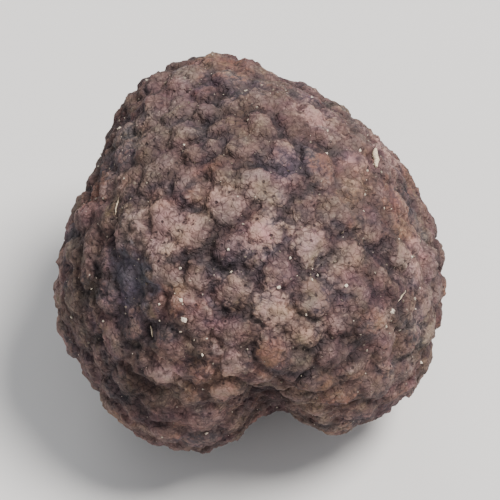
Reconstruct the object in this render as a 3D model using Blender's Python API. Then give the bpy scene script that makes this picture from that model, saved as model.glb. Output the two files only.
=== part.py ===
"""A whole black truffle, as dug and brushed: one grown piece, covered in polygonal warts.

The body is an uneven ball with swellings, hollows and folds. Its skin is divided into a few
hundred cells, and every cell rises to a wart: steep sides out of a sharp furrow, a broad shoulder
and a low tip off its middle. The warts underneath are pressed level, so the truffle lies still.
Metres, +Z up, the front is -Y, and the origin is under the middle of the truffle, where it lies.
"""

import math

import bmesh
import bpy
import numpy as np
from mathutils import Vector, noise

# The body, measured to the bottom of the furrows. A smooth noise makes it uneven all over: how
# far, how many waves to the body's radius, and where in the noise it is read.
HALF_WIDTH = 0.0275
HALF_DEPTH = 0.0266
HALF_HEIGHT = 0.0263
UNEVENNESS = 0.0009
UNEVEN_WAVES = 1.9
UNEVEN_PLACE = Vector((4.2, 1.3, 7.7))

# Where the body swells or sinks: azimuth and elevation in degrees from the middle of the body
# (0 is +X, -90 is the front), how far it rises, and the angle over which it does.
SWELLINGS = {
    "left lobe at the front": (-122, -23, 0.0038, 22),
    "left side": (-162, -13, 0.0013, 17),
    "right lobe at the front": (-38, -21, 0.0036, 24),
    "brow at the back left": (116, 33, 0.0034, 19),
    "nub on the brow": (100, 39, 0.0016, 8),
    "slope at the back right": (32, 24, -0.0024, 30),
    "shoulder on the right": (26, 17, 0.0014, 7),
    "waist on the left": (164, 14, -0.0023, 21),
    "shoulder at the back left": (147, 21, 0.0012, 8),
    "dent on the left": (-138, 32, -0.0011, 11),
    "lobe at the back": (72, -14, 0.0017, 26),
    "hollow at the back": (112, -22, -0.0013, 18),
    "hollow on the right": (8, -34, -0.0012, 18),
}

# Where the body folds in along a line: the azimuth and elevation of its two ends, its depth and
# half its width in degrees.
FOLDS = {
    "fold between the front lobes": ((-85, 0), (-73, -52), 0.0066, 10),
    "fold under the right lobe": ((-76, 0), (-47, -23), 0.0014, 5),
    "seam over the top": ((128, 67), (-106, 35), 0.0008, 5),
    "seam on the right": ((-30, 46), (-33, 12), 0.0006, 5),
    "seam at the back": ((150, 20), (96, -4), 0.0010, 6),
}

# The lower side, flattened by the soil that the truffle grew against.
SOIL_LEVEL = 0.0252
SOIL_SOFTNESS = 0.0016

# Warts with a place of their own: azimuth and elevation, then how wide the wart is and how far it
# rises, both against a usual one. A cell within the reach, in degrees, is that wart.
PLACED_WARTS = {
    "broadest, on the left": (-141, 55, 1.9, 1.1),
    "worn low, left of the middle": (-139, 32, 1.6, 0.35),
    "worn low, on the right lobe": (-55, 11, 1.3, 0.4),
    "middle of the front": (-86, 57, 1.2, 1.0),
    "left of the middle": (-109, 69, 1.3, 1.0),
    "right of the middle": (-59, 53, 1.2, 1.0),
    "high on the right": (-15, 56, 1.5, 1.1),
    "middle of the left lobe": (-114, 34, 1.3, 1.1),
    "foot of the left lobe": (-98, 9, 1.4, 1.1),
    "middle of the right lobe": (-48, 33, 1.2, 1.0),
    "nub": (101, 40, 1.2, 1.3),
}
PLACED_REACH = 3.0

# All the warts. The spread is a wart's width against a usual one. The rise is a share of its own
# width, up to the largest. A shoulder corner lies at its share of the way out to the furrow and of
# the way up to the tip, and shoulder and tip slip off the middle by a share of the width.
WART_COUNT = 350
WART_SEED = 31
WART_SPREAD = (0.62, 1.42)
SETTLING_STEPS = 26
SETTLING_REACH = 1.15
SETTLING_PUSH = 0.16
WART_RISE = (0.15, 0.25)
LARGEST_RISE = 0.0015
SHOULDER_SHARE = (0.60, 0.80)
SHOULDER_HEIGHT = (0.60, 0.92)
SHOULDER_SLIP = 0.03
TIP_SLIP = 0.09

# The furrows between them: how far they stray sideways, how far some are filled, and how many
# waves to the body's radius either has.
FURROW_WANDER = 0.00035
WANDER_WAVES = 7.9
FURROW_FILL = 0.0011
FILL_WAVES = 3.1

# How far the tips underneath are pressed up, from the lowest of them.
PRESSED = 0.0010

SKIN_COLOUR = (0.105, 0.072, 0.062, 1.0)
SKIN_ROUGHNESS = 0.9


def clear_scene():
    for old in list(bpy.data.objects):
        bpy.data.objects.remove(old, do_unlink=True)


def heading(azimuth, elevation):
    """The unit vector that points this way, with both angles in degrees."""
    turn, lift = math.radians(azimuth), math.radians(elevation)
    flat = math.cos(lift)
    return Vector((flat * math.cos(turn), flat * math.sin(turn), math.sin(lift)))


def bell(angle, spread):
    """1 where the angle is 0, falling smoothly to nothing over about two spreads."""
    return math.exp(-((angle / math.radians(spread)) ** 2))


def folded_in(way):
    """How far the folds draw the body in, in this direction."""
    depth = 0.0
    for one_end, other_end, deepest, half_width in FOLDS.values():
        start = heading(*one_end)
        along = heading(*other_end) - start
        share = min(1.0, max(0.0, (way - start).dot(along) / along.length_squared))
        nearest = (start + along * share).normalized()
        depth = max(depth, deepest * bell(way.angle(nearest), half_width))
    return depth


def body_point(way):
    """The point of the body in this direction from its middle, at the bottom of the furrows."""
    stretch = Vector((way.x / HALF_WIDTH, way.y / HALF_DEPTH, way.z / HALF_HEIGHT))
    reach = 1.0 / stretch.length
    for azimuth, elevation, rise, spread in SWELLINGS.values():
        reach += rise * bell(way.angle(heading(azimuth, elevation)), spread)
    reach += UNEVENNESS * noise.noise(way * UNEVEN_WAVES + UNEVEN_PLACE)
    reach -= folded_in(way)
    point = way * reach
    over = (-point.z - SOIL_LEVEL) / SOIL_SOFTNESS
    point.z += SOIL_SOFTNESS * math.log1p(math.exp(over))
    return point


def wart_centres(rng):
    """Directions of the warts, scattered at random and then settled, each off its neighbours.

    The placed warts come first and hold still. A wart with a wider spread keeps its neighbours
    further away, so the sizes differ.
    """
    ways = rng.normal(size=(WART_COUNT, 3))
    ways /= np.linalg.norm(ways, axis=1, keepdims=True)
    spreads = rng.uniform(*WART_SPREAD, size=WART_COUNT)
    for index, (azimuth, elevation, width, _) in enumerate(PLACED_WARTS.values()):
        ways[index] = heading(azimuth, elevation)
        spreads[index] = width
    free = (np.arange(WART_COUNT) >= len(PLACED_WARTS))[:, None]
    pitch = math.sqrt(4 * math.pi / WART_COUNT)
    reach = SETTLING_REACH * pitch * (spreads[:, None] + spreads[None]) / 2
    for _ in range(SETTLING_STEPS):
        apart = ways[:, None] - ways[None]
        gaps = np.linalg.norm(apart, axis=2) + np.eye(WART_COUNT)
        push = np.exp(-((gaps / reach) ** 2)) / gaps
        ways += SETTLING_PUSH * pitch * free * (apart * push[..., None]).sum(axis=1)
        ways /= np.linalg.norm(ways, axis=1, keepdims=True)
    return ways


def cell_nodes():
    """A modifier's tree that wraps points in a hull and turns each of its corners into a face."""
    tree = bpy.data.node_groups.new("Cells round points", "GeometryNodeTree")
    tree.interface.new_socket("Points", in_out="INPUT", socket_type="NodeSocketGeometry")
    tree.interface.new_socket("Cells", in_out="OUTPUT", socket_type="NodeSocketGeometry")
    arrives = tree.nodes.new("NodeGroupInput")
    hull = tree.nodes.new("GeometryNodeConvexHull")
    dual = tree.nodes.new("GeometryNodeDualMesh")
    leaves = tree.nodes.new("NodeGroupOutput")
    tree.links.new(arrives.outputs["Points"], hull.inputs["Geometry"])
    tree.links.new(hull.outputs["Convex Hull"], dual.inputs["Mesh"])
    tree.links.new(dual.outputs["Dual Mesh"], leaves.inputs["Cells"])
    return tree


def cells_round(ways):
    """A mesh on the unit ball with one polygon round each direction: its furrows are the edges."""
    mesh = bpy.data.meshes.new("wart centres")
    mesh.from_pydata(ways.tolist(), [], [])
    holder = bpy.data.objects.new("wart centres", mesh)
    bpy.context.scene.collection.objects.link(holder)
    holder.modifiers.new("Cells", "NODES").node_group = cell_nodes()
    graph = bpy.context.evaluated_depsgraph_get()
    cells = bpy.data.meshes.new_from_object(holder.evaluated_get(graph))
    bpy.data.objects.remove(holder)
    return cells


def lay_on_body(skin):
    """Takes the cells from the unit ball to the body. The furrows stray, and some are filled."""
    for corner in skin.verts:
        way = corner.co.normalized()
        stray = FURROW_WANDER * noise.noise_vector(way * WANDER_WAVES)
        filled = FURROW_FILL * max(0.0, noise.noise(way * FILL_WAVES))
        corner.co = body_point(way) + stray + way * filled


def placed_rise(way):
    """How far a wart in this direction rises against a usual one."""
    share = 1.0
    for azimuth, elevation, _, rise in PLACED_WARTS.values():
        if way.angle(heading(azimuth, elevation)) < math.radians(PLACED_REACH):
            share = rise
    return share


def raise_wart(skin, cell, rng):
    """Raises one cell: a ring of sides up to the shoulder, then facets up to the tip."""
    middle = cell.calc_center_median()
    outward = (middle.normalized() + cell.normal).normalized()
    width = 2 * math.sqrt(cell.calc_area() / math.pi)
    rise = min(LARGEST_RISE, width * rng.uniform(*WART_RISE)) * placed_rise(middle.normalized())
    slip = Vector(rng.normal(size=3)) * width
    slip -= outward * slip.dot(outward)
    bmesh.ops.inset_individual(skin, faces=[cell], thickness=0.0)
    for corner in cell.verts:
        height = rise * rng.uniform(*SHOULDER_HEIGHT)
        spot = middle.lerp(corner.co, rng.uniform(*SHOULDER_SHARE))
        corner.co = spot + outward * height + slip * SHOULDER_SLIP
    tip = bmesh.ops.poke(skin, faces=[cell])["verts"][0]
    tip.co = middle + outward * rise + slip * TIP_SLIP


def press_level(skin):
    """Presses the lowest tips level and puts the truffle on z = 0, over the origin."""
    low = min(v.co.z for v in skin.verts) + PRESSED
    for corner in skin.verts:
        corner.co.z = max(corner.co.z, low) - low
    across = [v.co.x for v in skin.verts]
    deep = [v.co.y for v in skin.verts]
    middle = Vector((min(across) + max(across), min(deep) + max(deep), 0)) / 2
    bmesh.ops.translate(skin, verts=skin.verts, vec=-middle)


def skin_material():
    material = bpy.data.materials.new("truffle skin")
    material.use_nodes = True
    shader = material.node_tree.nodes["Principled BSDF"]
    shader.inputs["Base Color"].default_value = SKIN_COLOUR
    shader.inputs["Roughness"].default_value = SKIN_ROUGHNESS
    return material


def make_truffle(collection):
    rng = np.random.default_rng(WART_SEED)
    noise.seed_set(WART_SEED)
    cells = cells_round(wart_centres(rng))
    skin = bmesh.new()
    skin.from_mesh(cells)
    lay_on_body(skin)
    bmesh.ops.recalc_face_normals(skin, faces=skin.faces)
    skin.normal_update()
    for cell in list(skin.faces):
        raise_wart(skin, cell, rng)
    press_level(skin)
    bmesh.ops.triangulate(skin, faces=skin.faces)
    mesh = bpy.data.meshes.new("truffle")
    skin.to_mesh(mesh)
    skin.free()
    mesh.materials.append(skin_material())
    truffle = bpy.data.objects.new("truffle", mesh)
    collection.objects.link(truffle)
    return truffle


def main():
    clear_scene()
    collection = bpy.data.collections.new("Black truffle")
    bpy.context.scene.collection.children.link(collection)
    make_truffle(collection)


main()
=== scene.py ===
"""The looks of a whole black truffle: its warted skin, the soil caught in it and a plain stage.

The skin starts from the solid's own facets, which are rounded and given an even fine mesh. Geometry
Nodes cut furrows, seams and cracks in it, roughen it, and note how deep each point lies. The skin's
material reads that, and the patches of tint, painted shade and painted highlight that are marked on
the mesh. Grit, a few large crumbs and slivers of root lie on the skin. Metres, +Z up, the front is
-Y.
"""

import math

import bmesh
import bpy
import numpy as np
from bpy.props import FloatProperty, FloatVectorProperty, IntProperty, PointerProperty
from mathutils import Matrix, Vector
from mathutils.bvhtree import BVHTree


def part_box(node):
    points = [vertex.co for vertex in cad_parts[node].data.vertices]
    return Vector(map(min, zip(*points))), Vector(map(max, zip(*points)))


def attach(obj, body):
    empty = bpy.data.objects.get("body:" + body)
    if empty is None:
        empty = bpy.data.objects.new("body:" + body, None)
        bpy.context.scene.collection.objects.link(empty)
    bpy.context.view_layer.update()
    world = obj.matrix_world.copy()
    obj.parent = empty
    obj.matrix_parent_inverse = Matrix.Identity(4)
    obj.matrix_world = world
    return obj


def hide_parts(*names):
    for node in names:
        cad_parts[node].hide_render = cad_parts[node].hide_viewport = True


bl_info = {
    "name": "Black truffle",
    "version": (1, 0, 0),
    "blender": (4, 5, 0),
    "location": "3D View > Sidebar > Truffle",
    "description": "Gives the black truffle its skin, the soil caught in it and a plain stage",
    "category": "Object",
}

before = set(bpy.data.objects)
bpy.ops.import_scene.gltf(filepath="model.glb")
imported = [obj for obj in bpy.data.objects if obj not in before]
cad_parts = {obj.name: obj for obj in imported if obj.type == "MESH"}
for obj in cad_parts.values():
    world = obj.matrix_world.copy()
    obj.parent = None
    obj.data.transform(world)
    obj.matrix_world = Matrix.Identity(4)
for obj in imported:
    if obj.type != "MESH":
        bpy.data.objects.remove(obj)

NODE = "truffle"
BODY = "root"
LOW, HIGH = (Vector(corner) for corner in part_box(NODE))
MIDDLE = (LOW + HIGH) / 2

# The width of the even mesh's faces, and how close two corners of the solid are when they are one.
EVEN_MESH = 0.00041
SAME_CORNER = 1e-6

# Added to the height of the lumps, it makes about the most that a point may stand out.
STAND_SPARE = 0.0003

# About what lumps, grain and crumbs add to how raised a point looks, taken off again at the end.
RAISED_SPARE = 1.50

# A distance from the middle that is outside the truffle on every side.
OUTSIDE = 0.1

# Steps in each stretch of a seam, and along a sliver.
SEAM_STEPS = 8
SLIVER_STEPS = 6

# How far the middle of a sliver lies off the skin, in its own thicknesses.
SLIVER_LIFT = 0.3

# What the skin's points carry: how far each is from a furrow and from a seam, whether it lies in a
# crack, how far it stands out, and a random share that is the same all over a wart.
FURROW = "furrow"
SEAM = "seam"
CRACK = "crack"
STAND = "stand"
WART = "wart"

# What the soil carries: how pale a grain is, and how wide a large crumb is to be.
TINT = "tint"
WIDTH = "width"

# Places are given as azimuth and elevation in degrees, seen from the truffle's middle: azimuth 0
# is +X, and -90 is the front.

# The seams are furrows that run on between several warts, deeper and darker than the rest.
SEAMS = {
    "over the top on the left": ((113, 59), (145, 72), (-163, 75), (-146, 69), (-146, 63)),
    "round the pink wart": (
        (-162, 56), (-157, 61), (-145, 63), (-129, 61), (-117, 56), (-116, 49),
    ),
    "below the pink wart": ((-133, 40), (-124, 46), (-117, 52)),
    "across the middle": ((-109, 48), (-99, 47), (-87, 46), (-76, 45)),
    "down from the middle": ((-109, 46), (-105, 37), (-99, 34), (-83, 34)),
    "on the right": ((-42, 54), (-36, 46), (-34, 35), (-33, 24), (-38, 14)),
    "right of the middle": ((-75, 63), (-61, 64), (-38, 66), (-27, 66)),
    "on the top": ((145, 62), (163, 80), (-62, 86), (-58, 81)),
    "left of the worn wart": ((-155, 37), (-153, 27), (-147, 21), (-135, 20)),
    "towards the right lobe": ((-55, 49), (-62, 39), (-64, 34), (-68, 22)),
    "over the right lobe": ((-74, 40), (-57, 34), (-47, 31)),
    "low on the left": ((-154, 16), (-145, 9), (-137, 2), (-132, -6)),
    "over the left lobe": ((-123, 26), (-127, 15), (-122, 4)),
    "at the end of the fold": ((-96, 17), (-88, 22), (-80, 15), (-73, 13)),
    "high on the right": ((76, 73), (31, 79), (5, 71), (2, 62)),
    "round the back": ((150, 48), (128, 34), (112, 8), (96, -4)),
    "at the back right": ((60, 46), (42, 30), (48, 8), (30, -14)),
    "low on the right": ((4, 30), (12, 12), (-2, -8)),
    "low at the back": ((170, 22), (158, 2), (166, -20)),
    "under the back": ((96, -14), (76, -26), (84, -44)),
}

# The patches of tint, painted shade and painted highlight, by the name under which the skin carries
# them, with how wide each is.
PATCHES = {
    # Worn low, smooth and blue-grey.
    "worn": {
        "left of the middle": (-139, 33, 0.0038),
    },
    # Red-brown.
    "rusty": {
        "below the upright sliver": (-12, 59, 0.0040),
        "foot of the left lobe": (-101, 10, 0.0040),
        "under the right lobe": (-64, 3, 0.0034),
        "right of the worn wart": (-120, 34, 0.0024),
        "middle of the right lobe": (-48, 21, 0.0022),
        "below the middle": (-84, 22, 0.0024),
        "on the left": (176, 30, 0.0030),
        "at the back": (122, 20, 0.0034),
        "low at the back": (70, -12, 0.0036),
        "low at the back left": (168, -18, 0.0034),
        "behind the right": (14, 20, 0.0030),
        "on the right": (-10, 34, 0.0044),
        "nub": (99, 44, 0.0040),
    },
    # Pale with dry soil.
    "pale": {
        "pink wart": (-137, 54, 0.0044),
        "above the middle": (-105, 72, 0.0030),
        "middle": (-86, 60, 0.0030),
        "right of the top": (-65, 73, 0.0030),
        "right of the middle": (-60, 54, 0.0030),
        "below the middle": (-82, 37, 0.0030),
        "foot of the left lobe": (-115, 11, 0.0030),
        "beside the worn wart": (-116, 41, 0.0026),
        "left of the middle": (-103, 42, 0.0032),
        "over the foot of the left lobe": (-98, 19, 0.0030),
        "right of the middle, lower": (-63, 39, 0.0028),
        "high at the back right": (39, 59, 0.0040),
        "right lobe": (-64, 28, 0.0026),
        "on the right": (-26, 27, 0.0034),
        "low on the right": (-28, 4, 0.0032),
        "at the back": (78, 14, 0.0036),
        "at the back left": (140, 10, 0.0036),
        "behind the right": (20, 36, 0.0034),
        "low at the back": (112, -24, 0.0034),
        "low at the back right": (30, -24, 0.0036),
        "low on the left": (-166, -2, 0.0034),
    },
    # Painted highlight: warts painted lighter, as if they catch the light, and a little pinker.
    "bare": {
        "pink wart": (-142, 54, 0.0042),
        "foot of the left lobe": (-99, 9, 0.0026),
        "middle": (-84, 59, 0.0026),
        "right of the middle": (-56, 55, 0.0024),
        "below the middle": (-82, 36, 0.0028),
        "right of the middle, lower": (-45, 43, 0.0026),
        "above the pink wart": (-125, 69, 0.0022),
        "right lobe": (-72, 28, 0.0022),
        "high on the right": (-7, 56, 0.0028),
        "high at the back right": (41, 61, 0.0026),
        "on the right": (-19, 21, 0.0028),
        "left lobe": (-115, 10, 0.0022),
        "behind the right": (22, 30, 0.0030),
        "at the back": (84, 24, 0.0030),
        "at the back left": (132, 14, 0.0028),
        "left of the nub": (150, 46, 0.0026),
        "on the left": (-176, 12, 0.0028),
        "low at the back": (62, -14, 0.0028),
        "low on the left": (-158, -12, 0.0024),
    },
    # Painted shade: patches painted darker, as under the lobes, in the fold and low down.
    "damp": {
        "on the right lobe": (-57, 17, 0.0036),
        "under the left lobe": (-121, -3, 0.0050),
        "in the fold": (-85, -16, 0.0050),
        "low at the back": (94, -6, 0.0040),
        "at the back left": (146, 28, 0.0034),
        "low on the right": (8, -10, 0.0040),
    },
}

# Where the largest pale crumbs of soil sit: azimuth and elevation, and how wide each is.
CRUMBS = {
    "on the middle": (-78, 43, 0.00080),
    "right of the worn wart": (-116, 36, 0.00075),
    "below that": (-113, 31, 0.00095),
    "on the right lobe": (-40, 19, 0.00090),
    "right of the middle": (-52, 36, 0.00060),
    "over the left lobe": (-105, 21, 0.00060),
    "at the back": (118, 16, 0.00080),
    "at the back left": (162, 18, 0.00065),
    "behind the right": (24, 12, 0.00075),
}

# Where slivers of root cling: azimuth and elevation, how many degrees they turn off the upright,
# their length and their thickness.
SLIVERS = {
    "upright, high on the right": (8, 47, 81, 0.0037, 0.00088),
    "under the left lobe": (-124, 20, 30, 0.0021, 0.00026),
    "on the left": (-166, 42, 55, 0.0024, 0.00022),
    "on the right lobe": (-34, 20, 115, 0.0018, 0.00028),
    "behind the nub": (80, 22, 60, 0.0026, 0.00028),
    "at the back": (140, -4, 20, 0.0020, 0.00030),
    "low at the back right": (40, -12, 130, 0.0023, 0.00024),
}

# The lamps: their place, width, power in watts and colour. The sky lights what they leave dark.
LAMPS = {
    "key": ((0.38, 0.02, 0.84), 0.35, 13.5, (1.0, 0.96, 0.92)),
    "fill": ((-0.30, -0.80, 0.50), 0.70, 0.8, (1.0, 1.0, 1.0)),
    "back": ((-0.20, 0.80, 0.50), 0.50, 2.0, (1.0, 1.0, 1.0)),
}
SKY_COLOUR = (0.93, 0.96, 1.0, 1.0)
SKY_STRENGTH = 0.46
FLOOR_WIDTH = 6.0


def size(name, description, metres):
    """A length that a user may change."""
    return FloatProperty(
        name=name, description=description, default=metres, min=0.0, precision=5, unit="LENGTH"
    )


def share(name, description, value):
    """A part of one that a user may change."""
    return FloatProperty(
        name=name, description=description, default=value, min=0.0, max=1.0, subtype="FACTOR"
    )


def angle(name, description, degrees):
    """An angle that a user may change."""
    return FloatProperty(
        name=name, description=description, default=math.radians(degrees), subtype="ANGLE"
    )


def colour(name, description, red, green, blue):
    """A colour that a user may change."""
    return FloatVectorProperty(
        name=name, description=description, default=(red, green, blue, 1.0), size=4,
        min=0.0, max=1.0, subtype="COLOR",
    )


class RoundingSettings(bpy.types.PropertyGroup):
    """How the solid's facets are rounded."""

    levels: IntProperty(
        name="Rounding steps", description="How often each facet is split in four",
        default=1, min=0, max=2,
    )
    bend: angle("Furrow bend", "An edge that bends inward more than this is a furrow", 24)
    ridge: share("Ridge sharpness", "How sharp the edges of the facets stay", 0.35)
    passes: IntProperty(
        name="Softening passes", description="How often the even mesh is smoothed",
        default=2, min=0, max=20,
    )


class SkinSettings(bpy.types.PropertyGroup):
    """The sizes of all that is cut in the skin and raised on it."""

    bend: angle("Furrow bend", "An edge that bends inward more than this is a furrow", 24)
    reach: size("Furrow reach", "How far the furrow's own look spreads from it", 0.0020)
    furrow_width: size("Furrow width", "Width of the groove cut along each furrow", 0.0008)
    furrow_depth: size("Furrow depth", "Depth of that groove", 0.00012)
    seam_width: size("Seam width", "Half the width of the groove along each seam", 0.00118)
    seam_depth: size("Seam depth", "Depth of that groove", 0.00040)
    seam_reach: size("Seam reach", "How far from a seam the furrows are drawn into it", 0.0030)
    seam_line: share("Seam line", "How much of a seam runs on across the warts in its way", 0.80)
    wander: size("Wander", "How far noise moves the surface sideways", 0.00080)
    wander_size: size("Wander size", "Distance between such moves", 0.0030)
    lump_size: size("Lump size", "Distance between the lumps that make the warts uneven", 0.0034)
    lump_height: size("Lump height", "Height of those lumps", 0.00085)
    facet_size: size("Facet size", "Distance between the cracks that split a wart", 0.0015)
    crack_width: size("Crack width", "Width of those cracks", 0.00034)
    crack_depth: size("Crack depth", "Depth of those cracks", 0.00026)
    knob_size: size("Knob size", "Distance between the knobs on the facets", 0.0010)
    knob_height: size("Knob height", "Height of the knobs", 0.00036)
    swell: size("Swell", "How far the whole skin is raised to make up for the rounding", 0.00012)


class SkinColours(bpy.types.PropertyGroup):
    """The skin's colours, from the furrows to the dust on the tops."""

    deep: colour("Furrow colour", "Colour at the bottom of the furrows", 0.031, 0.018, 0.021)
    side: colour("Side colour", "Colour of the sides of the warts", 0.103, 0.062, 0.057)
    top: colour("Top colour", "Colour of the tops of the warts", 0.182, 0.115, 0.100)
    dust: colour("Dust colour", "Colour of the dry soil on the skin", 0.355, 0.243, 0.205)
    rust: colour("Rust colour", "Colour of the red-brown warts", 0.235, 0.106, 0.066)
    olive: colour("Olive colour", "Colour of the faint yellow stains", 0.160, 0.110, 0.060)
    worn: colour("Worn tint", "Tint of the warts that are worn low", 0.80, 0.72, 0.88)
    # Painted highlight: the light pink of the warts painted as if they catch the light.
    bare: colour("Pink highlight colour", "Pink and painted highlight of the warts that catch the light", 0.430, 0.264, 0.220)


class SoilSettings(bpy.types.PropertyGroup):
    """The sizes of the grains of soil and how many there are."""

    spacing: size("Grit spacing", "Least distance between two grains", 0.0008)
    density: FloatProperty(
        name="Grit density", description="Grains to a square metre at most", default=260000.0
    )
    small: size("Smallest grain", "Width of the smallest grains", 0.00012)
    large: size("Largest grain", "Width of the largest grains", 0.00055)


class SoilColours(bpy.types.PropertyGroup):
    """The colours of the soil and of the slivers of root."""

    pale: colour("Pale grain colour", "Colour of the palest grains", 0.74, 0.64, 0.52)
    dark: colour("Dark grain colour", "Colour of the darkest grains", 0.11, 0.075, 0.055)
    sliver: colour("Sliver colour", "Colour of the slivers of root", 0.80, 0.64, 0.46)


class StageSettings(bpy.types.PropertyGroup):
    """The floor's colour and where the camera stands."""

    floor: colour("Floor colour", "Colour of the floor", 0.80, 0.79, 0.78)
    elevation: angle("Camera elevation", "How steeply the camera looks down", 55)
    distance: size("Camera distance", "How far the camera stands from the truffle", 0.45)
    view: size("View width", "Width of the view at the truffle", 0.074)


def put(tree, kind, values=None, **options):
    """Adds a node. A value that is a socket is linked to its input, and any other is set."""
    node = tree.nodes.new(kind)
    for name, option in options.items():
        setattr(node, name, option)
    for name, value in (values or {}).items():
        if isinstance(value, bpy.types.NodeSocket):
            tree.links.new(value, node.inputs[name])
        else:
            node.inputs[name].default_value = value
    return node


def maths(tree, operation, *values):
    """What a sum of numbers comes to, each a number or a socket."""
    values = dict(enumerate(values))
    return put(tree, "ShaderNodeMath", values, operation=operation).outputs[0]


def vectors(tree, operation, *values):
    """What a sum of vectors or colours comes to."""
    values = dict(enumerate(values))
    return put(tree, "ShaderNodeVectorMath", values, operation=operation).outputs[0]


def scaled(tree, vector, factor):
    """A vector or colour times a number."""
    values = {0: vector, "Scale": factor}
    return put(tree, "ShaderNodeVectorMath", values, operation="SCALE").outputs[0]


def ramp(tree, value, start, end, low=0.0, high=1.0):
    """Goes smoothly from low, where the value is at start, to high, where it is at end."""
    values = {"Value": value, "From Min": start, "From Max": end, "To Min": low, "To Max": high}
    node = put(tree, "ShaderNodeMapRange", values, interpolation_type="SMOOTHSTEP")
    return node.outputs["Result"]


def noise(tree, place, wave, detail=2.0, roughness=0.5):
    """A noise node whose waves are this long, in metres or as a socket."""
    values = {
        "Vector": place,
        "Scale": maths(tree, "DIVIDE", 1.0, wave),
        "Detail": detail,
        "Roughness": roughness,
    }
    return put(tree, "ShaderNodeTexNoise", values)


def cells(tree, place, width, feature):
    """Distance in a pattern of cells of this width: to the nearest centre or to the edge."""
    values = {"Vector": place, "Scale": maths(tree, "DIVIDE", 1.0, width)}
    return put(tree, "ShaderNodeTexVoronoi", values, feature=feature).outputs["Distance"]


def drifted(tree, place, wave, far):
    """The place, moved up to about this far by a noise."""
    drift = vectors(tree, "SUBTRACT", noise(tree, place, wave).outputs["Color"], (0.5, 0.5, 0.5))
    # The noise seldom strays more than a quarter from its middle.
    return vectors(tree, "ADD", place, scaled(tree, drift, maths(tree, "MULTIPLY", far, 4.0)))


def mixed(tree, amount, first, second):
    """A colour between two. The numbers are where the node keeps its colour sockets."""
    values = {0: amount, 6: first, 7: second}
    return put(tree, "ShaderNodeMix", values, data_type="RGBA").outputs[2]


def heading(azimuth, elevation):
    """The unit vector that points this way, with both angles in degrees."""
    turn, lift = math.radians(azimuth), math.radians(elevation)
    flat = math.cos(lift)
    return Vector((flat * math.cos(turn), flat * math.sin(turn), math.sin(lift)))


def geometry_tree(name, settings, others=()):
    """A modifier's tree with an input for each of the settings, and what its input node puts out.

    It may also have inputs for other objects.
    """
    tree = bpy.data.node_groups.new(name, "GeometryNodeTree")
    tree.interface.new_socket("Geometry", in_out="OUTPUT", socket_type="NodeSocketGeometry")
    tree.interface.new_socket("Geometry", in_out="INPUT", socket_type="NodeSocketGeometry")
    for key in settings.__annotations__:
        kind = "NodeSocketInt" if isinstance(getattr(settings, key), int) else "NodeSocketFloat"
        label = settings.bl_rna.properties[key].name
        tree.interface.new_socket(label, in_out="INPUT", socket_type=kind)
    for label in others:
        tree.interface.new_socket(label, in_out="INPUT", socket_type="NodeSocketObject")
    return tree, tree.nodes.new("NodeGroupInput").outputs


def end_tree(tree, geometry, material):
    """Ends a modifier's tree: real meshes, in this material."""
    real = put(tree, "GeometryNodeRealizeInstances", {"Geometry": geometry}).outputs[0]
    values = {"Geometry": real, "Material": material}
    finished = put(tree, "GeometryNodeSetMaterial", values).outputs[0]
    put(tree, "NodeGroupOutput", {0: finished})


def store(tree, geometry, name, value, domain="POINT"):
    """Keeps a number on the geometry under a name."""
    values = {"Geometry": geometry, "Name": name, "Value": value}
    node = put(tree, "GeometryNodeStoreNamedAttribute", values, domain=domain, data_type="FLOAT")
    return node.outputs[0]


def kept(tree, name):
    """Reads such a number back."""
    node = put(tree, "GeometryNodeInputNamedAttribute", {"Name": name}, data_type="FLOAT")
    return node.outputs["Attribute"]


def added(name, shape):
    """A new object with this mesh or curve."""
    piece = bpy.data.objects.new(name, shape)
    bpy.context.scene.collection.objects.link(piece)
    return piece


def nodes_on(piece, tree, settings, others=None):
    """Adds a tree to a piece as a modifier, with the settings and other objects in its inputs."""
    modifier = piece.modifiers.new(tree.name, "NODES")
    modifier.node_group = tree
    sockets = {item.name: item.identifier for item in tree.interface.items_tree}
    for key in settings.__annotations__:
        modifier[sockets[settings.bl_rna.properties[key].name]] = getattr(settings, key)
    for label, thing in (others or {}).items():
        modifier[sockets[label]] = thing


def settle(piece):
    """Turns a piece into the plain mesh that its modifiers make of it."""
    graph = bpy.context.evaluated_depsgraph_get()
    plain = bpy.data.meshes.new_from_object(piece.evaluated_get(graph))
    piece.modifiers.clear()
    piece.data = plain
    plain.name = piece.name


def fasten(piece):
    """Makes a piece go with the truffle's body."""
    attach(piece, BODY)


def merged_solid():
    """A copy of the solid's mesh in which neighbouring facets share their corners."""
    solid = bmesh.new()
    solid.from_mesh(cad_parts[NODE].data)
    bmesh.ops.remove_doubles(solid, verts=solid.verts, dist=SAME_CORNER)
    mesh = bpy.data.meshes.new("merged truffle")
    solid.to_mesh(mesh)
    solid.free()
    mesh.materials.clear()
    return mesh


def furrow_edges(tree, inputs):
    """Which edges bend inward enough to be a furrow."""
    bend = put(tree, "GeometryNodeInputMeshEdgeAngle").outputs["Signed Angle"]
    return maths(tree, "LESS_THAN", bend, maths(tree, "MULTIPLY", inputs["Furrow bend"], -1.0))


def rounding_tree(settings):
    """Rounds the facets, but keeps the furrows sharp."""
    tree, inputs = geometry_tree("Rounding", settings)
    crease = maths(tree, "MAXIMUM", furrow_edges(tree, inputs), inputs["Ridge sharpness"])
    values = {"Mesh": inputs["Geometry"], "Level": inputs["Rounding steps"], "Edge Crease": crease}
    rounded = put(tree, "GeometryNodeSubdivisionSurface", values).outputs[0]
    put(tree, "NodeGroupOutput", {0: rounded})
    return tree


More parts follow.
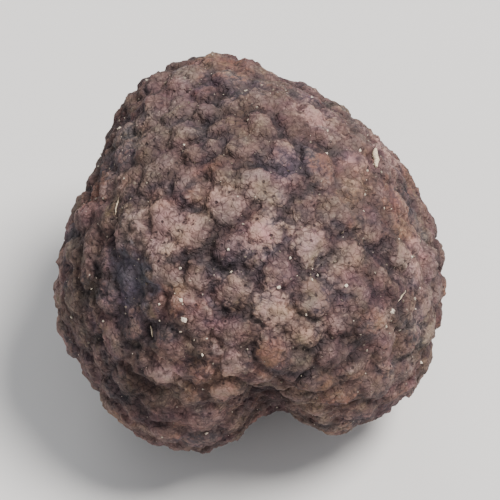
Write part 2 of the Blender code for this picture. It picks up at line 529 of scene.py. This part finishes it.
def wart_facts(tree, inputs):
    """The furrows as lines, and at each point its wart's random share."""
    values = {"Object": inputs["Solid"]}
    solid = put(tree, "GeometryNodeObjectInfo", values).outputs["Geometry"]
    furrow = furrow_edges(tree, inputs)
    group = put(tree, "GeometryNodeEdgesToFaceGroups", {"Boundary Edges": furrow}).outputs[0]
    chance = put(tree, "FunctionNodeRandomValue", {"ID": group, "Seed": 5}, data_type="FLOAT")
    values = {"Mesh": solid, "Value": chance.outputs[1]}
    wart = put(tree, "GeometryNodeSampleNearestSurface", values, data_type="FLOAT").outputs[0]
    values = {"Geometry": solid, "Selection": furrow}
    lines = put(tree, "GeometryNodeSeparateGeometry", values, domain="EDGE").outputs[0]
    return lines, wart


def seam_groove(tree, inputs, away, apart, broken):
    """The seams: -1 along them and 0 elsewhere, from how far the furrows and the seams are.

    A seam draws the furrows near it into itself, and runs on across a wart only in places.
    """
    line = ramp(tree, apart, 0.0, inputs["Seam width"], inputs["Seam line"], 0.0)
    line = maths(tree, "MULTIPLY", line, broken)
    near = ramp(tree, away, 0.0, inputs["Seam width"], 1.0, 0.0)
    drawn = maths(tree, "MULTIPLY", near, ramp(tree, apart, 0.0, inputs["Seam reach"], 1.0, 0.0))
    return maths(tree, "MULTIPLY", maths(tree, "MAXIMUM", line, drawn), -1.0)


def skin_tree(settings, material):
    """Cuts furrows, seams and cracks, raises lumps and knobs, and notes where all of them lie."""
    tree, inputs = geometry_tree("Truffle skin", settings, ("Solid", "Seams"))
    furrows, wart = wart_facts(tree, inputs)
    seams = put(tree, "GeometryNodeObjectInfo", {"Object": inputs["Seams"]}).outputs["Geometry"]
    place = put(tree, "GeometryNodeInputPosition").outputs[0]
    normal = put(tree, "GeometryNodeInputNormal").outputs[0]
    loose = drifted(tree, place, inputs["Wander size"], inputs["Wander"])
    away, apart = (
        put(tree, "GeometryNodeProximity", {0: lines, 2: loose}, target_element="EDGES").outputs[1]
        for lines in (furrows, seams)
    )

    # The cracks and the seams show where this noise lets them.
    broken = ramp(tree, noise(tree, place, inputs["Wander size"]).outputs[0], 0.35, 0.60)
    furrow = ramp(tree, away, 0.0, inputs["Furrow reach"])
    groove = ramp(tree, away, 0.0, inputs["Furrow width"], -1.0, 0.0)
    seam = seam_groove(tree, inputs, away, apart, broken)
    lump = noise(tree, place, inputs["Lump size"], detail=3.0, roughness=0.55).outputs[0]
    lump = maths(tree, "SUBTRACT", lump, 0.5)
    edge = cells(tree, loose, inputs["Facet size"], "DISTANCE_TO_EDGE")
    edge = maths(tree, "MULTIPLY", edge, inputs["Facet size"])
    crack = ramp(tree, edge, 0.0, inputs["Crack width"])
    split = maths(tree, "MULTIPLY", maths(tree, "SUBTRACT", crack, 1.0), broken)
    knob = maths(tree, "SUBTRACT", 0.5, cells(tree, loose, inputs["Knob size"], "F1"))

    height = inputs["Swell"]
    for form, high in (
        (groove, "Furrow depth"), (seam, "Seam depth"), (lump, "Lump height"),
        (split, "Crack depth"), (knob, "Knob height"),
    ):
        height = maths(tree, "MULTIPLY_ADD", form, inputs[high], height)
    aside = vectors(tree, "SUBTRACT", loose, place)
    offset = vectors(tree, "ADD", scaled(tree, normal, height), scaled(tree, aside, 0.5))

    carrier = inputs["Geometry"]
    stand = maths(tree, "DIVIDE", height, maths(tree, "ADD", inputs["Lump height"], STAND_SPARE))
    for name, value in (
        (FURROW, furrow), (SEAM, maths(tree, "ADD", seam, 1.0)), (WART, wart),
        (CRACK, maths(tree, "ADD", split, 1.0)), (STAND, stand),
    ):
        carrier = store(tree, carrier, name, value)
    values = {"Geometry": carrier, "Offset": offset}
    moved = put(tree, "GeometryNodeSetPosition", values).outputs[0]

    # Nothing goes below the surface that the truffle lies on.
    now = put(tree, "GeometryNodeInputPosition").outputs[0]
    values = {"Geometry": moved, "Position": vectors(tree, "MAXIMUM", now, (-1.0, -1.0, 0.0))}
    level = put(tree, "GeometryNodeSetPosition", values).outputs[0]
    smooth = put(tree, "GeometryNodeSetShadeSmooth", {"Geometry": level}).outputs[0]
    end_tree(tree, smooth, material)
    return tree


def surface_of(mesh):
    """The mesh's surface, to shoot rays at and measure from."""
    return BVHTree.FromPolygons([v.co for v in mesh.vertices], [f.vertices for f in mesh.polygons])


def spot_on(surface, way):
    """The outermost point of the surface that lies this way from the middle."""
    return surface.ray_cast(MIDDLE + way * OUTSIDE, -way)[0]


def seam_lines(surface):
    """A mesh of lines that run along the seams, on the surface."""
    lines = bmesh.new()
    for points in SEAMS.values():
        ways = [heading(*point) for point in points]
        last = None
        for here, there in zip(ways, ways[1:]):
            for step in range(SEAM_STEPS + 1):
                spot = spot_on(surface, here.slerp(there, step / SEAM_STEPS))
                corner = lines.verts.new(spot)
                if last:
                    lines.edges.new((last, corner))
                last = corner
    mesh = bpy.data.meshes.new("seams")
    lines.to_mesh(mesh)
    lines.free()
    return mesh


def note_patches(mesh, surface, name, patches):
    """Marks patches on the mesh: 1 in the middle of each, falling to 0 at twice its width."""
    places = np.empty(len(mesh.vertices) * 3, dtype=np.float32)
    mesh.vertices.foreach_get("co", places)
    places = places.reshape(-1, 3)
    marks = np.zeros(len(places), dtype=np.float32)
    for azimuth, elevation, width in patches.values():
        spot = spot_on(surface, heading(azimuth, elevation))
        away = np.linalg.norm(places - np.array(spot, dtype=np.float32), axis=1)
        marks = np.maximum(marks, 1.0 - away / (2.0 * width))
    mesh.attributes.new(name, "FLOAT", "POINT").data.foreach_set("value", marks)


def make_skin(rounding, settings, material):
    """Rounds the solid, gives it an even fine mesh and roughens that."""
    solid = added("merged truffle", merged_solid())
    surface = surface_of(solid.data)
    seams = added("seams", seam_lines(surface))
    skin = added("truffle_skin", solid.data.copy())
    nodes_on(skin, rounding_tree(rounding), rounding)
    even = skin.modifiers.new("Even mesh", "REMESH")
    even.mode = "VOXEL"
    even.voxel_size = EVEN_MESH
    soft = skin.modifiers.new("Softening", "SMOOTH")
    soft.iterations = rounding.passes
    nodes_on(skin, skin_tree(settings, material), settings, {"Solid": solid, "Seams": seams})
    settle(skin)
    for name, patches in PATCHES.items():
        note_patches(skin.data, surface, name, patches)
    bpy.data.objects.remove(solid)
    bpy.data.objects.remove(seams)
    return skin


def shader_group(name, inputs, outputs):
    """A shader node group with these inputs, as name and default, and these outputs."""
    tree = bpy.data.node_groups.new(name, "ShaderNodeTree")
    tree.interface.new_socket("Vector", in_out="INPUT", socket_type="NodeSocketVector")
    for label, value in inputs.items():
        socket = tree.interface.new_socket(label, in_out="INPUT", socket_type="NodeSocketFloat")
        socket.default_value = value
    for label in outputs:
        tree.interface.new_socket(label, in_out="OUTPUT", socket_type="NodeSocketFloat")
    return tree, tree.nodes.new("NodeGroupInput").outputs


def crackle_group():
    """Fine cracks that split the skin into crumbs of this size: 0 in a crack, 1 on a crumb."""
    tree, inputs = shader_group("Crackle", {"Size": 0.0009, "Width": 0.00010}, ("Crumbs",))
    far = maths(tree, "MULTIPLY", inputs["Size"], 0.25)
    loose = drifted(tree, inputs["Vector"], inputs["Size"], far)
    edge = cells(tree, loose, inputs["Size"], "DISTANCE_TO_EDGE")
    edge = maths(tree, "MULTIPLY", edge, inputs["Size"])
    put(tree, "NodeGroupOutput", {"Crumbs": ramp(tree, edge, 0.0, inputs["Width"])})
    return tree


def grain_group():
    """Fine dry grain: a height for bumps, and a mask of the specks of dust that cling to it."""
    inputs = {"Size": 0.0004, "Dusty": 0.3}
    tree, inputs = shader_group("Dry grain", inputs, ("Height", "Specks"))
    fine = noise(tree, inputs["Vector"], inputs["Size"], detail=3.0, roughness=0.65).outputs[0]
    far = maths(tree, "MULTIPLY", inputs["Size"], 0.2)
    loose = drifted(tree, inputs["Vector"], inputs["Size"], far)
    pores = cells(tree, loose, inputs["Size"], "F1")
    height = maths(tree, "SUBTRACT", fine, maths(tree, "MULTIPLY", pores, 0.6))
    wide = maths(tree, "MULTIPLY", inputs["Size"], 9.0)
    patch = noise(tree, inputs["Vector"], wide, detail=3.0, roughness=0.6).outputs[0]
    patch = maths(tree, "ADD", patch, maths(tree, "MULTIPLY", inputs["Dusty"], 0.35))
    amount = maths(tree, "MULTIPLY", patch, fine)
    specks = ramp(tree, amount, 0.31, 0.42)
    put(tree, "NodeGroupOutput", {"Height": height, "Specks": specks})
    return tree


def stain_group():
    """Soft stains: a mask of patches of this size that cover about this share of the surface."""
    tree, inputs = shader_group("Soft stains", {"Size": 0.008, "Share": 0.3}, ("Mask",))
    cloud = noise(tree, inputs["Vector"], inputs["Size"], detail=3.0, roughness=0.6).outputs[0]
    start = maths(tree, "SUBTRACT", 0.70, maths(tree, "MULTIPLY", inputs["Share"], 0.40))
    end = maths(tree, "ADD", start, 0.14)
    put(tree, "NodeGroupOutput", {"Mask": ramp(tree, cloud, start, end)})
    return tree


# The shader groups, each built when it is first asked for.
GROUPS = {"Crackle": crackle_group, "Dry grain": grain_group, "Soft stains": stain_group}


def grouped(tree, name, values):
    """What a node of the shader group of this name puts out, given these values."""
    group = bpy.data.node_groups.get(name) or GROUPS[name]()
    return put(tree, "ShaderNodeGroup", values, node_tree=group).outputs


def new_material(name):
    """A material, its tree, its shader and the piece's own coordinates."""
    material = bpy.data.materials.new(name)
    material.use_nodes = True
    tree = material.node_tree
    place = put(tree, "ShaderNodeTexCoord").outputs["Object"]
    return material, tree, tree.nodes["Principled BSDF"], place


def stains(tree, place, wave, amount, shift):
    """A mask of soft stains, read at its own place in the noise."""
    moved = vectors(tree, "ADD", place, (shift, shift, shift))
    return grouped(tree, "Soft stains", {"Vector": moved, "Size": wave, "Share": amount})["Mask"]


def crackle(tree, place, wave, width):
    """Where the fine cracks run."""
    return grouped(tree, "Crackle", {"Vector": place, "Size": wave, "Width": width})["Crumbs"]


def pits(tree, place, wave, width):
    """Where the small pits lie, about one to a cell of the pattern: 1 in the middle of a pit."""
    loose = drifted(tree, place, wave, wave * 0.15)
    away = cells(tree, loose, wave, "F1")
    return ramp(tree, away, 0.25 * width / wave, 0.60 * width / wave, 1.0, 0.0)


def grain(tree, place, wave, dusty):
    """The height and the specks of the dry grain."""
    outputs = grouped(tree, "Dry grain", {"Vector": place, "Size": wave, "Dusty": dusty})
    return outputs["Height"], outputs["Specks"]


def noted(tree, name):
    """A number that the mesh carries."""
    return put(tree, "ShaderNodeAttribute", attribute_name=name).outputs["Fac"]


def patch_masks(tree, place):
    """Where the patches of each name lie, with ragged soft rims that a noise gives them."""
    cloud = noise(tree, place, 0.0024, detail=3.0, roughness=0.6).outputs[0]
    masks = {}
    for name in PATCHES:
        torn = maths(tree, "SUBTRACT", cloud, 0.5)
        torn = maths(tree, "MULTIPLY_ADD", torn, 1.4, noted(tree, name))
        masks[name] = ramp(tree, torn, 0.30, 0.72)
    return masks


def raised_share(tree, place, masks, crumbs, coarse):
    """How high on its wart a point looks: about 0 in a furrow and 1 on a top."""
    closed = noise(tree, place, 0.0060).outputs[0]
    cloud = noise(tree, place, 0.0050, detail=3.0, roughness=0.55).outputs[0]
    gravel = noise(tree, place, 0.0006, roughness=0.6).outputs[0]

    # Some furrows are all but closed, and soil half fills those of the pale warts.
    furrow = noted(tree, FURROW)
    furrow = maths(tree, "MAXIMUM", furrow, ramp(tree, closed, 0.36, 0.60, 0.15, 0.80))
    furrow = maths(tree, "MAXIMUM", furrow, maths(tree, "MULTIPLY", masks["pale"], 0.5))
    furrow = maths(tree, "MULTIPLY", furrow, noted(tree, SEAM))
    raised = maths(tree, "MULTIPLY", furrow, ramp(tree, noted(tree, CRACK), 0.0, 1.0, 0.55, 1.0))
    # The painted shade patches lower how raised a point looks, which paints them darker.
    for part, amount in (
        (noted(tree, STAND), 0.30), (cloud, 0.50), (coarse, 1.20), (gravel, 0.70),
        (masks["pale"], 0.35), (crumbs, 0.30), (masks["damp"], -0.35),
    ):
        raised = maths(tree, "MULTIPLY_ADD", part, amount, raised)
    return maths(tree, "SUBTRACT", raised, RAISED_SPARE)


def coloured(tree, place, colours, masks, raised, specks):
    """Dark in the furrows, brown above them, and red-brown, yellow, dusty, or pink and lighter with
    a painted highlight, in places.
    """
    tone = mixed(tree, ramp(tree, raised, -0.45, 0.70), colours.deep, colours.side)
    tone = mixed(tree, ramp(tree, raised, 0.45, 1.45), tone, colours.top)
    rusty = stains(tree, place, wave=0.007, amount=0.30, shift=0.31)
    rusty = maths(tree, "MAXIMUM", masks["rusty"], rusty)
    rusty = maths(tree, "MULTIPLY", rusty, ramp(tree, raised, 0.2, 1.0, 0.15, 0.6))
    olive = stains(tree, place, wave=0.008, amount=0.30, shift=0.57)
    olive = maths(tree, "MULTIPLY", olive, ramp(tree, raised, 0.3, 0.9, 0.0, 0.5))
    dusty = maths(tree, "MULTIPLY", specks, ramp(tree, raised, 0.25, 1.1, 0.05, 0.42))
    soil = ramp(tree, raised, 0.4, 1.2, 0.0, 0.28)
    dusty = maths(tree, "MULTIPLY_ADD", masks["pale"], soil, dusty)
    # Painted highlight: lighter pink on the tops of the warts painted as if they catch the light.
    bare = maths(tree, "MULTIPLY", masks["bare"], ramp(tree, raised, 0.3, 1.1, 0.08, 0.42))
    for amount, stain in (
        (rusty, colours.rust), (olive, colours.olive), (dusty, colours.dust), (bare, colours.bare),
    ):
        tone = mixed(tree, amount, tone, stain)
    return tone


def cooled(tree, place, colours, masks, raised, tone):
    """The tone, blue-grey low down in stains and in the seams, and even on the worn warts."""
    tint = tuple(colours.worn)[:3]
    grey = put(tree, "ShaderNodeRGBToBW", {"Color": tone}).outputs[0]
    cool = stains(tree, place, wave=0.010, amount=0.50, shift=0.83)
    cool = maths(tree, "MAXIMUM", cool, maths(tree, "SUBTRACT", 1.0, noted(tree, SEAM)))
    cool = maths(tree, "MULTIPLY", cool, ramp(tree, raised, 0.3, 1.1, 0.64, 0.05))
    tone = mixed(tree, cool, tone, scaled(tree, tint, grey))
    calm = scaled(tree, tint, maths(tree, "MULTIPLY_ADD", grey, 0.50, 0.046))
    return mixed(tree, maths(tree, "MULTIPLY", masks["worn"], 0.90), tone, calm)


def varied(tree, place, masks, tone):
    """The tone, a little lighter or darker from wart to wart and darker in the painted shade, in
    hues that wander.
    """
    shade = ramp(tree, noted(tree, WART), 0.0, 1.0, 0.86, 1.14)
    shade = maths(tree, "MULTIPLY_ADD", masks["pale"], 0.08, shade)
    # Painted shade: darker again in the patches that stand for shade.
    shade = maths(tree, "MULTIPLY_ADD", masks["damp"], -0.22, shade)
    values = {"Color": tone, "Value": shade}
    tone = put(tree, "ShaderNodeHueSaturation", values).outputs[0]
    for wave, amount in ((0.0065, 0.32), (0.0022, 0.28)):
        hues = noise(tree, place, wave, detail=1.0).outputs["Color"]
        hues = vectors(tree, "SUBTRACT", hues, (0.5, 0.5, 0.5))
        hues = vectors(tree, "ADD", scaled(tree, hues, amount), (1.0, 1.0, 1.0))
        tone = vectors(tree, "MULTIPLY", tone, hues)
    return tone


def skin_material(colours):
    """Dark and blue in the furrows, brown on the sides, dusty and worn on the tops."""
    material, tree, shader, place = new_material("Truffle skin")
    masks = patch_masks(tree, place)
    crumbs = crackle(tree, place, wave=0.0010, width=0.00016)
    pores = pits(tree, place, wave=0.0016, width=0.00055)
    fine, specks = grain(tree, place, wave=0.00045, dusty=0.40)
    coarse = noise(tree, place, 0.0012, detail=4.0, roughness=0.65).outputs[0]
    raised = raised_share(tree, place, masks, crumbs, coarse)

    tone = coloured(tree, place, colours, masks, raised, specks)
    tone = cooled(tree, place, colours, masks, raised, tone)
    tone = mixed(tree, maths(tree, "MULTIPLY", pores, 0.80), tone, colours.deep)
    tree.links.new(varied(tree, place, masks, tone), shader.inputs["Base Color"])

    rough = ramp(tree, specks, 0.0, 1.0, 0.72, 0.95)
    tree.links.new(rough, shader.inputs["Roughness"])
    relief = fine
    for part, amount in ((coarse, 1.5), (crumbs, 0.7), (pores, -1.2)):
        relief = maths(tree, "MULTIPLY_ADD", part, amount, relief)
    values = {"Height": relief, "Strength": 1.0, "Distance": 0.00012}
    bump = put(tree, "ShaderNodeBump", values).outputs[0]
    tree.links.new(bump, shader.inputs["Normal"])
    shader.inputs["Specular IOR Level"].default_value = 0.25
    return material


def grit_tree(settings, material):
    """Scatters grains over the skin, most of them in the furrows, and adds the large crumbs."""
    tree, inputs = geometry_tree("Soil grit", settings, ("Crumbs",))
    normal = put(tree, "GeometryNodeInputNormal").outputs[0]
    upward = put(tree, "ShaderNodeSeparateXYZ", {0: normal}).outputs["Z"]

    # A quarter as many grains hold on the tops, and none on what faces down.
    caught = ramp(tree, kept(tree, FURROW), 0.05, 0.9, 1.0, 0.25)
    caught = maths(tree, "MULTIPLY", caught, ramp(tree, upward, -0.55, 0.2))
    values = {
        "Mesh": inputs["Geometry"],
        "Distance Min": inputs["Grit spacing"],
        "Density Max": inputs["Grit density"],
        "Density Factor": caught,
        "Seed": 17,
    }
    spread = put(tree, "GeometryNodeDistributePointsOnFaces", values, distribute_method="POISSON")

    ball = put(tree, "GeometryNodeMeshIcoSphere", {"Radius": 0.5, "Subdivisions": 2}).outputs[0]
    spot = put(tree, "GeometryNodeInputPosition").outputs[0]
    rough = drifted(tree, spot, wave=0.55, far=0.30)
    stone = put(tree, "GeometryNodeSetPosition", {"Geometry": ball, "Position": rough}).outputs[0]

    # Each has its own width, most of them small, and its own stretch and turn.
    chance = put(tree, "FunctionNodeRandomValue", {"Seed": 3}, data_type="FLOAT").outputs[1]
    small = maths(tree, "POWER", chance, 3.0)
    spare = maths(tree, "SUBTRACT", inputs["Largest grain"], inputs["Smallest grain"])
    width = maths(tree, "MULTIPLY_ADD", small, spare, inputs["Smallest grain"])
    values = {0: (0.7, 0.7, 0.5), 1: (1.3, 1.1, 0.9), "Seed": 8}
    stretch = put(tree, "FunctionNodeRandomValue", values, data_type="FLOAT_VECTOR").outputs[0]
    values = {1: (math.tau, math.tau, math.tau), "Seed": 9}
    turn = put(tree, "FunctionNodeRandomValue", values, data_type="FLOAT_VECTOR").outputs[0]
    values = {
        "Points": spread.outputs["Points"],
        "Instance": stone,
        "Rotation": turn,
        "Scale": scaled(tree, stretch, width),
    }
    grains = put(tree, "GeometryNodeInstanceOnPoints", values).outputs[0]
    hue = put(tree, "FunctionNodeRandomValue", {"Seed": 21}, data_type="FLOAT").outputs[1]
    grains = store(tree, grains, TINT, hue, "INSTANCE")

    spots = put(tree, "GeometryNodeObjectInfo", {"Object": inputs["Crumbs"]}).outputs["Geometry"]
    values = {
        "Points": spots,
        "Instance": stone,
        "Rotation": turn,
        "Scale": scaled(tree, stretch, kept(tree, WIDTH)),
    }
    crumbs = put(tree, "GeometryNodeInstanceOnPoints", values).outputs[0]
    crumbs = store(tree, crumbs, TINT, 1.0, "INSTANCE")
    both = put(tree, "GeometryNodeJoinGeometry")
    for part in (grains, crumbs):
        tree.links.new(part, both.inputs[0])
    end_tree(tree, both.outputs[0], material)
    return tree


def make_grit(settings, material):
    """The grit on the skin that is there, as one piece."""
    skin = bpy.data.objects["truffle_skin"].data
    surface = surface_of(skin)
    mesh = bpy.data.meshes.new("crumbs")
    ways = [heading(azimuth, elevation) for azimuth, elevation, _ in CRUMBS.values()]
    mesh.from_pydata([spot_on(surface, way) for way in ways], [], [])
    widths = [width for _, _, width in CRUMBS.values()]
    mesh.attributes.new(WIDTH, "FLOAT", "POINT").data.foreach_set("value", widths)
    crumbs = added("crumbs", mesh)
    grit = added("soil_grit", skin.copy())
    nodes_on(grit, grit_tree(settings, material), settings, {"Crumbs": crumbs})
    settle(grit)
    bpy.data.objects.remove(crumbs)
    return grit


def grit_material(colours):
    """Dry soil: pale to dark brown grains."""
    material, tree, shader, place = new_material("Soil grit")
    height, specks = grain(tree, place, wave=0.00012, dusty=0.5)
    pale = maths(tree, "POWER", noted(tree, TINT), 2.2)
    tone = mixed(tree, pale, colours.dark, colours.pale)
    tone = mixed(tree, maths(tree, "MULTIPLY", specks, 0.3), tone, colours.pale)
    tree.links.new(tone, shader.inputs["Base Color"])
    shader.inputs["Roughness"].default_value = 0.8
    values = {"Height": height, "Distance": 0.00003}
    tree.links.new(put(tree, "ShaderNodeBump", values).outputs[0], shader.inputs["Normal"])
    return material


def sliver_material(colours):
    """Pale dry root, with dim grain."""
    material, tree, shader, place = new_material("Root slivers")
    height, specks = grain(tree, place, wave=0.00020, dusty=0.6)
    values = {"Color": colours.sliver, "Value": 0.55}
    dim = put(tree, "ShaderNodeHueSaturation", values).outputs[0]
    tree.links.new(mixed(tree, specks, dim, colours.sliver), shader.inputs["Base Color"])
    shader.inputs["Roughness"].default_value = 0.7
    values = {"Height": height, "Distance": 0.00004}
    tree.links.new(put(tree, "ShaderNodeBump", values).outputs[0], shader.inputs["Normal"])
    return material


def sliver_paths(surface):
    """For each sliver, points that follow the skin with how it tapers there, and its thickness."""
    for azimuth, elevation, turn, length, thickness in SLIVERS.values():
        way = heading(azimuth, elevation)
        spot = spot_on(surface, way)
        upright = (Vector((0, 0, 1)) - way * way.z).normalized()
        aside = way.cross(upright)
        lean = math.radians(turn)
        along = upright * math.cos(lean) + aside * math.sin(lean)
        path = []
        for step in range(SLIVER_STEPS + 1):
            part = step / SLIVER_STEPS
            near = spot + along * length * (part - 0.5)
            foot, out, _, _ = surface.find_nearest(near)
            taper = math.sin(math.pi * (0.08 + 0.84 * part)) ** 0.6
            path.append((foot + out * thickness * SLIVER_LIFT, taper))
        yield path, thickness


def make_slivers(skin, material):
    """Each sliver is a thin tapered tube."""
    curve = bpy.data.curves.new("root slivers", "CURVE")
    curve.dimensions = "3D"
    curve.bevel_depth = 1.0
    curve.bevel_resolution = 1
    curve.use_fill_caps = True
    for path, thickness in sliver_paths(surface_of(skin)):
        spline = curve.splines.new("POLY")
        spline.points.add(len(path) - 1)
        for point, (spot, taper) in zip(spline.points, path):
            point.co = (*spot, 1.0)
            point.radius = thickness / 2 * taper
    holder = added("root slivers", curve)
    graph = bpy.context.evaluated_depsgraph_get()
    mesh = bpy.data.meshes.new_from_object(holder.evaluated_get(graph))
    bpy.data.objects.remove(holder)
    mesh.materials.clear()
    mesh.materials.append(material)
    return added("root_slivers", mesh)


class TRUFFLE_OT_skin(bpy.types.Operator):
    """Grow the warted skin round the truffle's solid"""

    bl_idname = "truffle.skin"
    bl_label = "Skin"

    def execute(self, context):
        scene = context.scene
        material = skin_material(scene.truffle_skin_colours)
        skin = make_skin(scene.truffle_rounding, scene.truffle_skin, material)
        fasten(skin)
        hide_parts(NODE)
        return {"FINISHED"}


class TRUFFLE_OT_grit(bpy.types.Operator):
    """Scatter grains of soil in the furrows"""

    bl_idname = "truffle.grit"
    bl_label = "Grit"

    def execute(self, context):
        scene = context.scene
        material = grit_material(scene.truffle_soil_colours)
        fasten(make_grit(scene.truffle_soil, material))
        return {"FINISHED"}


class TRUFFLE_OT_slivers(bpy.types.Operator):
    """Lay slivers of root on the skin"""

    bl_idname = "truffle.slivers"
    bl_label = "Root slivers"

    def execute(self, context):
        material = sliver_material(context.scene.truffle_soil_colours)
        fasten(make_slivers(bpy.data.objects["truffle_skin"].data, material))
        return {"FINISHED"}


def aimed(thing, place):
    """Puts a lamp or the camera in its place and turns it to the middle of the truffle."""
    thing.location = place
    thing.rotation_euler = (MIDDLE - Vector(place)).to_track_quat("-Z", "Y").to_euler()
    bpy.context.scene.collection.objects.link(thing)


def make_floor(tone):
    """A plain floor that fills the view."""
    bpy.ops.mesh.primitive_plane_add(size=FLOOR_WIDTH)
    floor = bpy.context.object
    floor.name = "floor"
    material = bpy.data.materials.new("Plain floor")
    material.use_nodes = True
    shader = material.node_tree.nodes["Principled BSDF"]
    shader.inputs["Base Color"].default_value = tone
    shader.inputs["Roughness"].default_value = 0.9
    floor.data.materials.append(material)


def make_lamp(name, place, width, power, tone):
    """A round soft lamp that shines on the truffle."""
    lamp = bpy.data.lights.new(name, "AREA")
    lamp.color = tone
    lamp.shape = "DISK"
    lamp.size = width
    lamp.energy = power
    aimed(bpy.data.objects.new(name, lamp), place)


def make_sky():
    """An even pale sky."""
    world = bpy.data.worlds.new("soft studio")
    world.use_nodes = True
    sky = world.node_tree.nodes["Background"]
    sky.inputs["Color"].default_value = SKY_COLOUR
    sky.inputs["Strength"].default_value = SKY_STRENGTH
    bpy.context.scene.world = world


def make_camera(settings):
    """The camera, in front of the truffle and above it."""
    lens = bpy.data.cameras.new("camera")
    lens.lens = lens.sensor_width * settings.distance / settings.view
    lens.clip_start = 0.01
    camera = bpy.data.objects.new("camera", lens)
    lift = settings.elevation
    back = Vector((0.0, -math.cos(lift), math.sin(lift)))
    aimed(camera, MIDDLE + back * settings.distance)
    bpy.context.scene.camera = camera


class TRUFFLE_OT_stage(bpy.types.Operator):
    """Set the floor, the lamps and the camera"""

    bl_idname = "truffle.stage"
    bl_label = "Stage"

    def execute(self, context):
        settings = context.scene.truffle_stage
        make_floor(settings.floor)
        for name, values in LAMPS.items():
            make_lamp(name, *values)
        make_sky()
        make_camera(settings)
        return {"FINISHED"}


class TRUFFLE_PT_panel(bpy.types.Panel):
    """A button for each step, with its settings below it"""

    bl_idname = "TRUFFLE_PT_panel"
    bl_label = "Black truffle"
    bl_space_type = "VIEW_3D"
    bl_region_type = "UI"
    bl_category = "Truffle"

    def draw(self, context):
        """Draws a box for each step."""
        for operator, names in PANEL.items():
            box = self.layout.box()
            box.operator(operator.bl_idname)
            for name in names:
                settings = getattr(context.scene, name)
                for key in settings.__annotations__:
                    box.prop(settings, key)


SETTINGS = {
    "truffle_rounding": RoundingSettings,
    "truffle_skin": SkinSettings,
    "truffle_skin_colours": SkinColours,
    "truffle_soil": SoilSettings,
    "truffle_soil_colours": SoilColours,
    "truffle_stage": StageSettings,
}
PANEL = {
    TRUFFLE_OT_skin: ("truffle_rounding", "truffle_skin", "truffle_skin_colours"),
    TRUFFLE_OT_grit: ("truffle_soil", "truffle_soil_colours"),
    TRUFFLE_OT_slivers: (),
    TRUFFLE_OT_stage: ("truffle_stage",),
}
CLASSES = (*SETTINGS.values(), *PANEL, TRUFFLE_PT_panel)


def register():
    """Makes the steps, the panel and the settings known to Blender."""
    for each in CLASSES:
        bpy.utils.register_class(each)
    for name, group in SETTINGS.items():
        setattr(bpy.types.Scene, name, PointerProperty(type=group))


def unregister():
    """Takes them away again."""
    for name in SETTINGS:
        delattr(bpy.types.Scene, name)
    for each in reversed(CLASSES):
        bpy.utils.unregister_class(each)


def main():
    """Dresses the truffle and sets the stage."""
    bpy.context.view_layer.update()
    register()
    bpy.ops.truffle.skin()
    bpy.ops.truffle.grit()
    bpy.ops.truffle.slivers()
    bpy.ops.truffle.stage()


if __name__ == "__main__":
    main()
